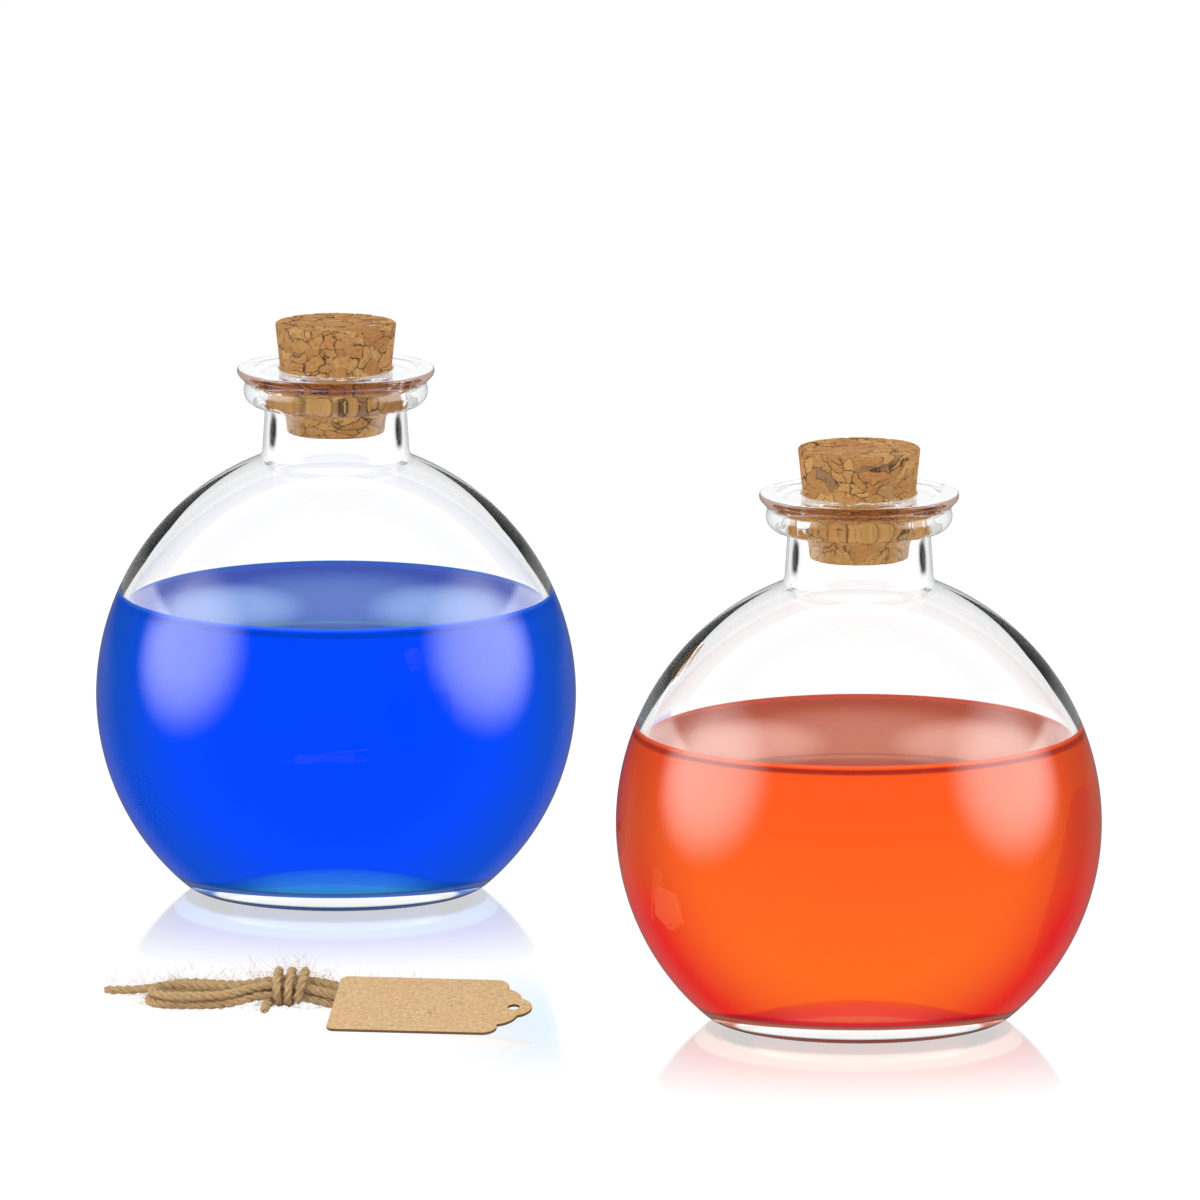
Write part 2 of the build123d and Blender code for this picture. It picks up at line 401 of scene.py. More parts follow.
# Wraps round the waist, the last one slanting over the others, with a tail at each end
def tieRoute():
    radius = twine["diameter"] / 2
    middle = radius + tie["halfHeight"]
    count = round(tie["turns"] * 360 / tie["anglePerPoint"])
    route = [laid(-tie["width"] / 2, -tie["halfWidth"] - tie["tail"] * share, radius) for share in (1, 0.6, 0.2)]
    for number in range(count + 1):
        share = number / count
        angle = math.radians(tie["startAngle"] + number * tie["anglePerPoint"])
        x = tie["width"] * (share - 0.5) + tie["slant"] * math.sin(angle) * share
        y = tie["halfWidth"] * math.cos(angle)
        z = middle + tie["halfHeight"] * math.sin(angle)
        route.append(laid(x, y, z))
    return route


def framesAlong(points):
    side = up
    frames = []
    for number, point in enumerate(points):
        ahead = points[min(number + 1, len(points) - 1)] - points[max(number - 1, 0)]
        ahead.normalize()
        side = (side - ahead * side.dot(ahead)).normalized()
        frames.append((point, ahead, side, ahead.cross(side)))
    return frames


def evenPoints(points, step):
    lengths = [0.0]
    for first, second in zip(points, points[1:]):
        lengths.append(lengths[-1] + (second - first).length)
    count = max(2, round(lengths[-1] / step))
    even, here = [], 0
    for number in range(count + 1):
        along = lengths[-1] * number / count
        while here < len(points) - 2 and lengths[here + 1] < along:
            here += 1
        share = (along - lengths[here]) / max(lengths[here + 1] - lengths[here], 1e-9)
        even.append(points[here].lerp(points[here + 1], share))
    return even, lengths[-1]


# Plies twisted round each other along the line, each a closed tube with its own UV
def twistPlies(name, line, finish):
    even, length = evenPoints(line, twine["step"])
    frames = framesAlong(even)
    work = bmesh.new()
    uv = work.loops.layers.uv.new("along")
    plyRadius = twine["diameter"] * twine["plyRadius"]
    orbit = twine["diameter"] * twine["plyOrbit"]
    sides = twine["plySides"]
    for ply in range(twine["plies"]):
        rings = []
        for number, (point, ahead, side, other) in enumerate(frames):
            along = length * number / (len(frames) - 1)
            twist = math.tau * (along / twine["plyTwist"] + ply / twine["plies"])
            outward = side * math.cos(twist) + other * math.sin(twist)
            across = ahead.cross(outward)
            fromTip = min(number, len(frames) - 1 - number)
            size = plyRadius * (twine["tipSize"] + (1 - twine["tipSize"]) * min(fromTip / twine["tipRings"], 1))
            ring = []
            for corner in range(sides):
                angle = math.tau * corner / sides
                spot = point + outward * (orbit + size * math.cos(angle)) + across * size * math.sin(angle)
                ring.append(work.verts.new((spot.x, spot.y, max(spot.z, twine["lowest"]))))
            rings.append((ring, along))
        for (low, lowAlong), (high, highAlong) in zip(rings, rings[1:]):
            for corner in range(sides):
                after = (corner + 1) % sides
                face = work.faces.new((low[corner], low[after], high[after], high[corner]))
                turns = ((corner, lowAlong), (corner + 1, lowAlong), (corner + 1, highAlong), (corner, highAlong))
                for loop, (turn, along) in zip(face.loops, turns):
                    loop[uv].uv = (turn / sides + ply, along / mm)
                face.smooth = True
        work.faces.new(rings[0][0][::-1])
        work.faces.new(rings[-1][0])
    bmesh.ops.recalc_face_normals(work, faces=work.faces)
    mesh = bpy.data.meshes.new(name)
    work.to_mesh(mesh)
    work.free()
    mesh.materials.append(finish)
    return linkPiece(name, mesh), length


# Stray fibres, scattered over the plies
fuzz = {
    "Density": 0.55e6,  # fibres per square metre of ply
    "Length": 4.2 * mm,
    "Thickness": 0.02 * mm,
    "Waviness": 2.4 * mm,
}

fibreCurve = {
    "Resolution": 6,
    "Start": (0, 0, 0),
    "Start Handle": (0.3, 0, 0.35),
    "End Handle": (0.7, 0.15, 0.3),
    "End": (1, 0.25, 0.55),
}

fibreSpread = {
    "turns": ((-0.5, -0.7, -math.pi), (0.5, 0.35, math.pi)),
    "sizes": (0.25, 1.0),
    "waves": (420.0, 1.0),
    "lowest": (-1.0, -1.0, 0.05 * mm),
}


def makeFuzzTree():
    tree, given, wanted = newShapeTree("strayFibres", {
        "Density": ("Float", 0.0), "Length": ("Float", 0.0), "Thickness": ("Float", 0.0),
        "Waviness": ("Float", 0.0), "Seed": ("Int", 0)})
    scattered = addNode(tree, "GeometryNodeDistributePointsOnFaces", {
        "Mesh": given["Geometry"], "Density": given["Density"], "Seed": given["Seed"]}).outputs
    fibre = addNode(tree, "GeometryNodeCurvePrimitiveBezierSegment", fibreCurve).outputs["Curve"]
    (leastTurn, mostTurn), (least, largest) = fibreSpread["turns"], fibreSpread["sizes"]
    turn = addNode(tree, "FunctionNodeRandomValue", {
        0: leastTurn, 1: mostTurn, "Seed": given["Seed"]}, data_type="FLOAT_VECTOR").outputs[0]
    size = addNode(tree, "FunctionNodeRandomValue", {
        2: least, 3: largest, "Seed": given["Seed"]}, data_type="FLOAT").outputs[1]
    placed = addNode(tree, "GeometryNodeInstanceOnPoints", {
        "Points": scattered["Points"], "Instance": fibre, "Rotation": scattered["Rotation"],
        "Scale": times(tree, size, given["Length"])}).outputs[0]
    turned = addNode(tree, "GeometryNodeRotateInstances", {"Instances": placed, "Rotation": turn}).outputs[0]
    curves = addNode(tree, "GeometryNodeRealizeInstances", {"Geometry": turned}).outputs[0]
    along = addNode(tree, "GeometryNodeSplineParameter").outputs["Factor"]
    place = addNode(tree, "GeometryNodeInputPosition").outputs[0]
    sway = shifts(tree, place, *fibreSpread["waves"], times(tree, along, given["Waviness"]))
    for spot in (vectorCalc(tree, "ADD", place, sway), place):  # again, for what the curve does between its ends
        spot = vectorCalc(tree, "MAXIMUM", spot, fibreSpread["lowest"])
        curves = addNode(tree, "GeometryNodeSetPosition", {"Geometry": curves, "Position": spot}).outputs[0]
        curves = addNode(tree, "GeometryNodeResampleCurve", {"Curve": curves}, mode="EVALUATED").outputs[0]
    section = addNode(tree, "GeometryNodeCurvePrimitiveCircle", {"Resolution": 3, "Radius": given["Thickness"]})
    mesh = addNode(tree, "GeometryNodeCurveToMesh", {
        "Curve": curves, "Profile Curve": section.outputs[0], "Fill Caps": True}).outputs[0]
    return endShapeTree(tree, mesh, given["Finish"], wanted)


def makeFuzz(name, twinePiece, seed, finish):
    source = linkPiece(name + "Source", twinePiece.data.copy())
    addTree(source, fuzzTree, {**fuzz, "Seed": seed, "Finish": finish})
    return finishPiece(name, source, finish)


# Two colours in soft blotches, and a height for a bump; cork, jute and card all have it, each by a noise that
# gives the scale, detail, roughness, limits and share
def makeMottleGroup():
    tree, given, wanted = newGroup("mottled", "ShaderNodeTree", {
        "Place": ("Vector", (0, 0, 0)), "Scale": ("Float", 500.0), "Detail": ("Float", 3.0),
        "Roughness": ("Float", 0.6), "Low": ("Float", 0.3), "High": ("Float", 0.7), "Share": ("Float", 1.0),
        "First": ("Color", None), "Second": ("Color", None)},
        {"Color": ("Color", None), "Height": ("Float", None)})
    blotches = addNode(tree, "ShaderNodeTexNoise", {
        "Vector": given["Place"], **{name: given[name] for name in ("Scale", "Detail", "Roughness")}}).outputs[0]
    share = times(tree, mapRange(tree, blotches, given["Low"], given["High"]), given["Share"])
    tree.links.new(mixColour(tree, share, given["First"], given["Second"]), wanted["Color"])
    tree.links.new(blotches, wanted["Height"])
    return tree


def mottle(tree, place, scale, detail, roughness, limits, share, first, second):
    return addNode(tree, "ShaderNodeGroup", {
        "Place": place, "Scale": scale, "Detail": detail, "Roughness": roughness, "Low": limits[0], "High": limits[1],
        "Share": share, "First": first, "Second": second}, node_tree=mottled).outputs


# Jute: pale streaks and dark gaps run along each ply
juteTints = {
    "dark": (0.36, 0.21, 0.09, 1),
    "pale": (0.86, 0.62, 0.34, 1),
    "warm": (0.70, 0.42, 0.17, 1),
    "sheen": (1.0, 0.85, 0.6, 1),
    "fibreDark": (0.55, 0.35, 0.16, 1),
    "fibrePale": (0.88, 0.68, 0.42, 1),
    "streakStretch": (9.0, 0.42, 1.0),  # round the ply and along it
    "streakNoise": {"Scale": 2.2, "Detail": 5.0, "Roughness": 0.65},
    "streakShare": (0.34, 0.68),
    "warmNoise": (260.0, 2.0, 0.5, (0.45, 0.7), 0.45),
    "fibreNoise": (500.0, 1.0, 0.5, (0.35, 0.65), 1.0),
}


def makeJute():
    material, tree, shader = newMaterial("twistedJute")
    along, t = addNode(tree, "ShaderNodeUVMap", uv_map="along").outputs[0], juteTints
    streakPlace = addNode(tree, "ShaderNodeMapping", {"Vector": along, "Scale": t["streakStretch"]}).outputs[0]
    streaks = addNode(tree, "ShaderNodeTexNoise", {"Vector": streakPlace, **t["streakNoise"]}).outputs[0]
    colour = mixColour(tree, mapRange(tree, streaks, *t["streakShare"]), t["dark"], t["pale"])
    colour = mottle(tree, objectPlace(tree), *t["warmNoise"], colour, t["warm"])["Color"]
    bump = addNode(tree, "ShaderNodeBump", {"Height": streaks, "Strength": 0.55, "Distance": 0.15 * mm}).outputs[0]
    setInputs(tree, shader, {"Roughness": 0.75, "Sheen Weight": 0.25, "Sheen Tint": t["sheen"],
                             "Base Color": colour, "Normal": bump})
    return material


def makeFibreFinish():
    material, tree, shader = newMaterial("looseFibre")
    place, t = objectPlace(tree), juteTints
    colour = mottle(tree, place, *t["fibreNoise"], t["fibreDark"], t["fibrePale"])["Color"]
    setInputs(tree, shader, {"Roughness": 0.6, "Base Color": colour})
    return material


mottled = makeMottleGroup()
jute, fibre = makeJute(), makeFibreFinish()
fuzzTree = makeFuzzTree()


def makeTwine(name, route, node, seed):
    line = smoothLine(name + "Line", route)
    piece, length = twistPlies(name, line, jute)
    strays = makeFuzz(name + "Fuzz", piece, seed, fibre)
    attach(piece, "set")
    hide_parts(node)
    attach(strays, "set")
    print(name, "length", round(length / mm, 1), "mm, fibres", len(strays.data.polygons) // 20)
    return piece


makeTwine("jute_hank", hankRoute(), "twine_hank", 3)
makeTwine("jute_tie", tieRoute(), "twine_tie", 8)


# Glass, liquid and cork, turned from half outlines

glass = {
    "belly": 42.5 * mm,
    "bellyHeight": 35.0 * mm,
    "foot": 25.2 * mm,
    "heelReach": 2.7 * mm,
    "wall": 2.2 * mm,
    "floor": 4.6 * mm,
    "innerHeelReach": 1.6 * mm,
    "puntRadius": 18.0 * mm,
    "puntRise": 6.0 * mm,
    "puntReach": 1.2 * mm,
    "humpRadius": 23.5 * mm,
    "humpRise": 6.8 * mm,
    "humpEdgeReach": 1.0 * mm,
    "neckBottom": 13.08 * mm,
    "shoulderHeight": 77.7 * mm,
    "neckRootReach": 1.3 * mm,
    "neckTop": 12.48 * mm,
    "beadUnder": 87.2 * mm,
    "beadBulge": 1.5 * mm,
    "bead": 16.28 * mm,
    "beadHeight": 90.1 * mm,
    "groove": 15.98 * mm,
    "grooveHeight": 91.0 * mm,
    "lip": 17.48 * mm,
    "lipHeight": 92.6 * mm,
    "rim": 93.6 * mm,
    "lipReach": 0.45 * mm,
    "throatTop": 10.01 * mm,
    "throatBottom": 9.38 * mm,
    "throatHeight": 87.6 * mm,
    "bore": 10.38 * mm,
    "boreTop": 86.4 * mm,
    "boreRootReach": 2.6 * mm,
    "segments": 192,
}

liquid = {
    "overlap": 0.12 * mm,  # into the glass, so that no air shows between
    "meniscusRise": 0.45 * mm,
    "meniscusWidth": 1.6 * mm,
    "meniscusSteps": 24,
    "segments": 160,
}

cork = {
    "top": 10.75 * mm,
    "bottom": 8.7 * mm,
    "edge": 0.35 * mm,
    "rings": 90,
    "capRings": 40,
    "segments": 300,
    "chipSize": 300.0,
    "ragged": (330.0, 3.0, 3.2 * mm),  # scale, detail and size of two shifts of the chips' outlines
    "curled": (120.0, 0.0, 9.0 * mm),
    "flatness": (1.0, 1.0, 1.7),
    "partedNoise": (260.0, 1.0),  # where cracks show
    "grooveWidth": 0.09,
    "grooveParted": (0.42, 0.6),
    "grooveDepth": 0.2 * mm,
    "roughNoise": (900.0, 3.0),
    "crackWidth": 0.07,
    "crackParted": (0.38, 0.55, 0.15, 1.0),
    "roughDepth": 0.1 * mm,
    "pressed": 0.17 * mm,  # how far the throat's glass is wetted by the squeezed cork
    "pressedHeights": (86.6 * mm, 87.8 * mm, 93.2 * mm, 94.2 * mm),
    "sheenSlant": (0.44, 0.54),  # how far from square the cork seen through the glass takes a pale painted sheen
    "sheenBelow": (91.6 * mm, 92.2 * mm),
}


def straight(start, end, count=2):
    start, end = Vector(start), Vector(end)
    return [start.lerp(end, number / count) for number in range(count + 1)]


# From a point to another along an arc that bulges to the left of the way by the given height
def bulged(start, end, height, count=16):
    start, end = Vector(start), Vector(end)
    chord = end - start
    radius = ((chord.length / 2) ** 2 + height ** 2) / (2 * abs(height))
    side = Vector((-chord.y, chord.x)).normalized() * (1 if height > 0 else -1)
    centre = (start + end) / 2 - side * (radius - abs(height))
    spread = math.asin(chord.length / 2 / radius)
    forward = chord.normalized()
    return [centre + side * radius * math.cos(turn) + forward * radius * math.sin(turn)
            for turn in (spread * (2 * number / count - 1) for number in range(count + 1))]


# The ball's wall from its widest place to the given point, on an arc that is upright at the belly
def bellyArc(belly, bellyHeight, end, count):
    inward, rise = belly - end[0], end[1] - bellyHeight
    radius = (inward ** 2 + rise ** 2) / (2 * inward)
    last = math.atan2(rise, radius - inward)
    return [Vector((belly - radius + radius * math.cos(last * share), bellyHeight + radius * math.sin(last * share)))
            for share in (number / count for number in range(count + 1))], radius


# Joins stretches end to end, each corner rounded off over its reach
def joined(stretches, reaches, steps=7):
    path = list(stretches[0])
    for stretch, reach in zip(stretches[1:], reaches):
        ahead = list(stretch)
        corner = path[-1]
        if reach:
            while len(path) > 1 and (path[-1] - corner).length < reach:
                before = path.pop()
            start = before.lerp(path[-1], min((reach - (before - corner).length) / (path[-1] - before).length, 1))
            while len(ahead) > 1 and (ahead[0] - corner).length < reach:
                after = ahead.pop(0)
            end = after.lerp(ahead[0], min((reach - (after - corner).length) / (ahead[0] - after).length, 1))
            for number in range(steps + 1):
                share = number / steps
                path.append(start * (1 - share) ** 2 + corner * 2 * share * (1 - share) + end * share ** 2)
        else:
            ahead = ahead[1:]
        path += ahead
    return path


# The hollow's wall from the middle of its floor to the root of the bore, grown by a given amount
def hollowPath(grow=0.0):
    g = glass
    _, lower = bellyArc(g["belly"], g["bellyHeight"], (g["foot"], 0), 2)
    _, upper = bellyArc(g["belly"], g["bellyHeight"], (g["neckBottom"], g["shoulderHeight"]), 2)
    belly, floor = g["belly"] - g["wall"] + grow, g["floor"] - grow
    low, high = lower - g["wall"] + grow, upper - g["wall"] + grow
    floorReach = belly - low + math.sqrt(low ** 2 - (g["bellyHeight"] - floor) ** 2)
    boreRise = math.sqrt(high ** 2 - (g["bore"] + grow - belly + high) ** 2)
    down, _ = bellyArc(belly, g["bellyHeight"], (floorReach, floor), 40)
    above, _ = bellyArc(belly, g["bellyHeight"], (g["bore"] + grow, g["bellyHeight"] + boreRise), 60)
    hump = capArc(g["humpRise"], g["humpRadius"], floor, 24)
    ring = straight(hump[-1], (floorReach, floor), 6)
    return joined([hump, ring, down[::-1]], [g["humpEdgeReach"], g["innerHeelReach"]]) + above[1:]


# A cap that rises from its edge to its middle, as under and inside the foot
def capArc(rise, reach, base, count):
    radius = (reach ** 2 + rise ** 2) / (2 * rise)
    spread = math.asin(reach / radius)
    return [Vector((radius * math.sin(turn), base + rise - radius * (1 - math.cos(turn))))
            for turn in (spread * number / count for number in range(count + 1))]


def glassProfile():
    g = glass
    punt = capArc(g["puntRise"], g["puntRadius"], 0, 24)
    foot = straight((g["puntRadius"], 0), (g["foot"], 0), 8)
    down, _ = bellyArc(g["belly"], g["bellyHeight"], (g["foot"], 0), 48)
    above, _ = bellyArc(g["belly"], g["bellyHeight"], (g["neckBottom"], g["shoulderHeight"]), 70)
    neck = straight(above[-1], (g["neckTop"], g["beadUnder"]), 12)
    bead = bulged(neck[-1], (g["bead"], g["beadHeight"]), -g["beadBulge"], 12)
    stretches = [punt, foot, down[::-1], above, neck, bead]
    for radius, height, count in (("groove", "grooveHeight", 3), ("lip", "lipHeight", 4), ("lip", "rim", 3),
                                  ("throatTop", "rim", 8), ("throatBottom", "throatHeight", 8), ("bore", "boreTop", 4)):
        stretches.append(straight(stretches[-1][-1], (g[radius], g[height]), count))
    inside = hollowPath()[::-1]
    stretches += [straight(stretches[-1][-1], inside[0], 8), inside]
    return joined(stretches, [g["puntReach"], g["heelReach"], 0, g["neckRootReach"], *[g["lipReach"]] * 8,
                              g["boreRootReach"]])


def liquidProfile(level):
    rise, width, count = liquid["meniscusRise"], liquid["meniscusWidth"], liquid["meniscusSteps"]
    wall = [point for point in hollowPath(liquid["overlap"]) if point.y < level + rise]
    edge = wall[-1].x
    shares = [number / count for number in range(count + 1)]
    top = [Vector((edge - width * share, level + rise * (1 - share) ** 3)) for share in shares]
    return wall + top + straight(top[-1], (0, level), 20)[1:]


def corkProfile(low, high):
    under = straight((0, low), (cork["bottom"], low), cork["capRings"])
    side = straight(under[-1], (cork["top"], high), cork["rings"])
    over = straight(side[-1], (0, high), cork["capRings"])
    path = joined([under, side, over], [cork["edge"], cork["edge"]], 4)
    start, full, last, end = cork["pressedHeights"]
    for point in path:
        if point.x > cork["bottom"]:
            point.x += cork["pressed"] * easeBetween(point.y, start, full) * (1 - easeBetween(point.y, last, end))
    return path


def makeLatheTree():
    tree, given, wanted = newShapeTree("turnedOutline", {"Segments": ("Int", 64), "Place": ("Vector", (0, 0, 0))})
    count = addNode(tree, "GeometryNodeAttributeDomainSize", {"Geometry": given["Geometry"]}).outputs["Point Count"]
    columns = calc(tree, "ADD", given["Segments"], 1.0)
    grid = addNode(tree, "GeometryNodeMeshGrid", {"Vertices X": columns, "Vertices Y": count}).outputs[0]
    index = addNode(tree, "GeometryNodeInputIndex").outputs[0]
    column = calc(tree, "FLOOR", calc(tree, "DIVIDE", index, count))
    sampled = addNode(tree, "GeometryNodeSampleIndex", data_type="FLOAT_VECTOR", domain="POINT")
    setInputs(tree, sampled, {
        "Geometry": given["Geometry"], "Value": addNode(tree, "GeometryNodeInputPosition").outputs[0],
        "Index": calc(tree, "MODULO", index, count)})
    outline = split(tree, sampled.outputs[0])
    angle = times(tree, calc(tree, "DIVIDE", column, given["Segments"]), math.tau)
    spot = addNode(tree, "ShaderNodeCombineXYZ", {
        "X": times(tree, outline["X"], calc(tree, "COSINE", angle)),
        "Y": times(tree, outline["X"], calc(tree, "SINE", angle)), "Z": outline["Z"]}).outputs[0]
    spot = vectorCalc(tree, "ADD", spot, given["Place"])
    turned = addNode(tree, "GeometryNodeSetPosition", {"Geometry": grid, "Position": spot}).outputs[0]
    merged = addNode(tree, "GeometryNodeMergeByDistance", {"Geometry": turned, "Distance": 0.002 * mm}).outputs[0]
    smooth = addNode(tree, "GeometryNodeSetShadeSmooth", {"Geometry": merged}).outputs[0]
    return endShapeTree(tree, smooth, given["Finish"], wanted)


def turnProfile(name, profile, place, segments, finish):
    mesh = bpy.data.meshes.new(name + "Outline")
    mesh.from_pydata([(point.x, 0, point.y) for point in profile],
                     [(number, number + 1) for number in range(len(profile) - 1)], [])
    source = linkPiece(name + "Outline", mesh)
    addTree(source, latheTree, {"Segments": segments, "Place": place, "Finish": finish})
    piece = finishPiece(name, source, finish)
    faceOutwards(piece.data)
    return piece


latheTree = makeLatheTree()


# The studio: what the glass and the water hold apart from their own shape

farReach = 60 * mm  # how far off a piece is that shows in no reflection


def firstReflection(tree, path):
    return times(tree, path["Is Glossy Ray"], isBelow(tree, path["Transmission Depth"], 0.5))


# 1 for light that a clear piece lets straight through: lamps' and soft light, and reflections of a far piece
def passesThrough(tree, path):
    farOff = times(tree, firstReflection(tree, path), isAbove(tree, path["Ray Length"], farReach))
    return most(tree, farOff, path["Is Shadow Ray"], path["Is Diffuse Ray"])


# 1 for light that has been turned back over and over
def trapped(tree, path):
    return isAbove(tree, path["Glossy Depth"], 3.5)


# 1 for light that was turned back in a wall's far side or rim, on its way down into the bottle
def comesBack(tree, path, entries):
    return times(tree, isAbove(tree, path["Glossy Depth"], 0.5), isAbove(tree, path["Transmission Depth"], entries))


def finishClear(tree, shader, passing, film, depth, density):
    through = addNode(tree, "ShaderNodeBsdfTransparent", {"Color": film}).outputs[0]
    absorbed = addNode(tree, "ShaderNodeVolumeAbsorption", {"Color": depth, "Density": density}).outputs[0]
    setInputs(tree, tree.nodes["Material Output"], {
        "Surface": mixShader(tree, passing, shader.outputs[0], through), "Volume": absorbed})


# Light that was turned back inside the wall leaves it with a black base colour, painted shade as in a studio with black
# sides: a crescent in the shoulder, a streak and a thin outline in the neck. Slants are how far from square on the
# light leaves.
glassEdges = {
    "soft": 0.0018,
    "crescentHeights": (50 * mm, 60 * mm),
    "crescentInner": (0.2400, 0.2262),
    "crescentEnd": (66 * mm, 77 * mm),
    "crescentClosing": (0.2262, 0.2440),
    "crescentOuter": (0.2560, 0.2455),
    "crescentDepth": (54 * mm, 62 * mm, 0.965, 1.0),
    "streakSlant": (0.203, 0.030),  # middle and half size, as for its height
    "streakHeight": (82.2 * mm, 5.2 * mm),
    "streakFade": (0.2, 1.1, 1.0, 0.0),
    "streakFrom": (78.4 * mm, 79.8 * mm),
    "outline": (0.2495, 0.2515),
    "neckHeights": (77 * mm, 78 * mm, 86.6 * mm, 87.4 * mm),
    # Painted reflection of the cork: a faint brownish tint on light leaving the rim, and a brown band on the lip's edge
    "rimFrom": (87.0 * mm, 88.4 * mm),
    "rimCorkReflection": (0.96, 0.92, 0.90, 1),
    "lipFrom": (91.0 * mm, 91.6 * mm),
    "lipSlope": 0.8,
    "lipCorkReflection": (0.34, 0.16, 0.12, 1),
    # Painted glow: white emission where light leaves the wall's inside a third time at a slant
    "asideSlants": (0.155, 0.10),  # on the shoulder and in the neck
    "asideSoft": 0.02,
    "mattHeights": (50 * mm, 54 * mm),
    "mattFrom": (0.30, 0.45),
    # Painted shade: a dark line round the very foot, tinted with each bottle's water
    "footShadeLine": (1.2 * mm, 1.7 * mm, 1.0, 0.0),
    "footShades": ((0.001, 0.006, 0.05, 1), (0.07, 0.003, 0.0015, 1)),  # blue bottle's and red bottle's
    # Painted shade: the glass greyed towards its outline on the shoulder
    "edgeShadeFrom": (0.50, 0.80),
    "edgeShadeHeights": (52 * mm, 58 * mm),
    "edgeShade": (0.82, 0.82, 0.83, 1),
    "film": (0.97, 0.98, 0.98, 1),
    "depth": (0.75, 0.85, 0.88, 1),
    "density": 3.0,
}


def makeGlass():
    material, tree, shader = newMaterial("clearGlass")
    path, shape = lightPath(tree), addNode(tree, "ShaderNodeNewGeometry").outputs
    slant, spot = slantOf(tree), split(tree, objectPlace(tree))
    height, e = spot["Z"], glassEdges
    inside, first = shape["Backfacing"], isBelow(tree, path["Transmission Depth"], 0.5)
    outside = minus(tree, 1.0, inside)
    turned = times(tree, inside, isAbove(tree, path["Glossy Depth"], 0.5),
                   isCount(tree, path["Transmission Depth"], 1.0))
    inner = most(tree, mapRange(tree, height, *e["crescentHeights"], *e["crescentInner"], smooth=False),
                 mapRange(tree, height, *e["crescentEnd"], *e["crescentClosing"], smooth=False))
    outer = mapRange(tree, height, *e["crescentEnd"], *e["crescentOuter"], smooth=False)
    crescent = times(tree, mapRange(tree, minus(tree, slant, inner), 0.0, e["soft"]),
                     mapRange(tree, minus(tree, outer, slant), 0.0, e["soft"]),
                     mapRange(tree, height, *e["crescentDepth"]))
    streak = calc(tree, "ADD", squareOf(tree, slant, *e["streakSlant"]), squareOf(tree, height, *e["streakHeight"]))
    streak = times(tree, mapRange(tree, streak, *e["streakFade"]), mapRange(tree, height, *e["streakFrom"]))
    outline = times(tree, band(tree, height, *e["neckHeights"]), mapRange(tree, slant, *e["outline"]))
    # painted shade: black where turned-back light leaves the wall
    dark = times(tree, turned, most(tree, crescent, streak, outline))
    # painted reflection of the cork in the rim and along the lip's edge
    rim = times(tree, turned, mapRange(tree, height, *e["rimFrom"]))
    slope = calc(tree, "ABSOLUTE", split(tree, shape["Normal"])["Z"])
    lip = times(tree, first, mapRange(tree, height, *e["lipFrom"]), isBelow(tree, slope, e["lipSlope"]))
    # painted glow: white emission in place of what would show there
    asideFrom = mapRange(tree, height, *e["neckHeights"][:2], *e["asideSlants"])
    upper = mapRange(tree, height, *e["mattHeights"])
    paintedSideGlow = times(tree, inside, isCount(tree, path["Transmission Depth"], 3.0),
                  mapRange(tree, minus(tree, slant, asideFrom), 0.0, e["asideSoft"]), upper)
    # painted shade: dark line round the foot
    foot = times(tree, mapRange(tree, height, *e["footShadeLine"]), outside)
    footShade = mixColour(tree, isAbove(tree, spot["X"], 0.0), *e["footShades"])
    # painted shade towards the outline
    edgeShade = times(tree, mapRange(tree, slant, *e["edgeShadeFrom"]), mapRange(tree, height, *e["edgeShadeHeights"]), outside)
    colour = layered(tree, pureWhite, (edgeShade, e["edgeShade"]), (rim, e["rimCorkReflection"]), (lip, e["lipCorkReflection"]), (foot, footShade),
                     (most(tree, dark, paintedSideGlow), pureBlack))
    matt = most(tree, times(tree, upper, mapRange(tree, slant, *e["mattFrom"])), minus(tree, 1.0, first))
    setInputs(tree, shader, {
        "Roughness": 0.0, "IOR": 1.5, "Transmission Weight": 1.0, "Base Color": colour,
        "Specular Tint": mixColour(tree, matt, pureWhite, pureBlack),
        "Emission Color": mixColour(tree, paintedSideGlow, pureBlack, pureWhite), "Emission Strength": 1.0})
    passing = most(tree, passesThrough(tree, path), trapped(tree, path))
    finishClear(tree, shader, passing, e["film"], e["depth"], e["density"])
    return material


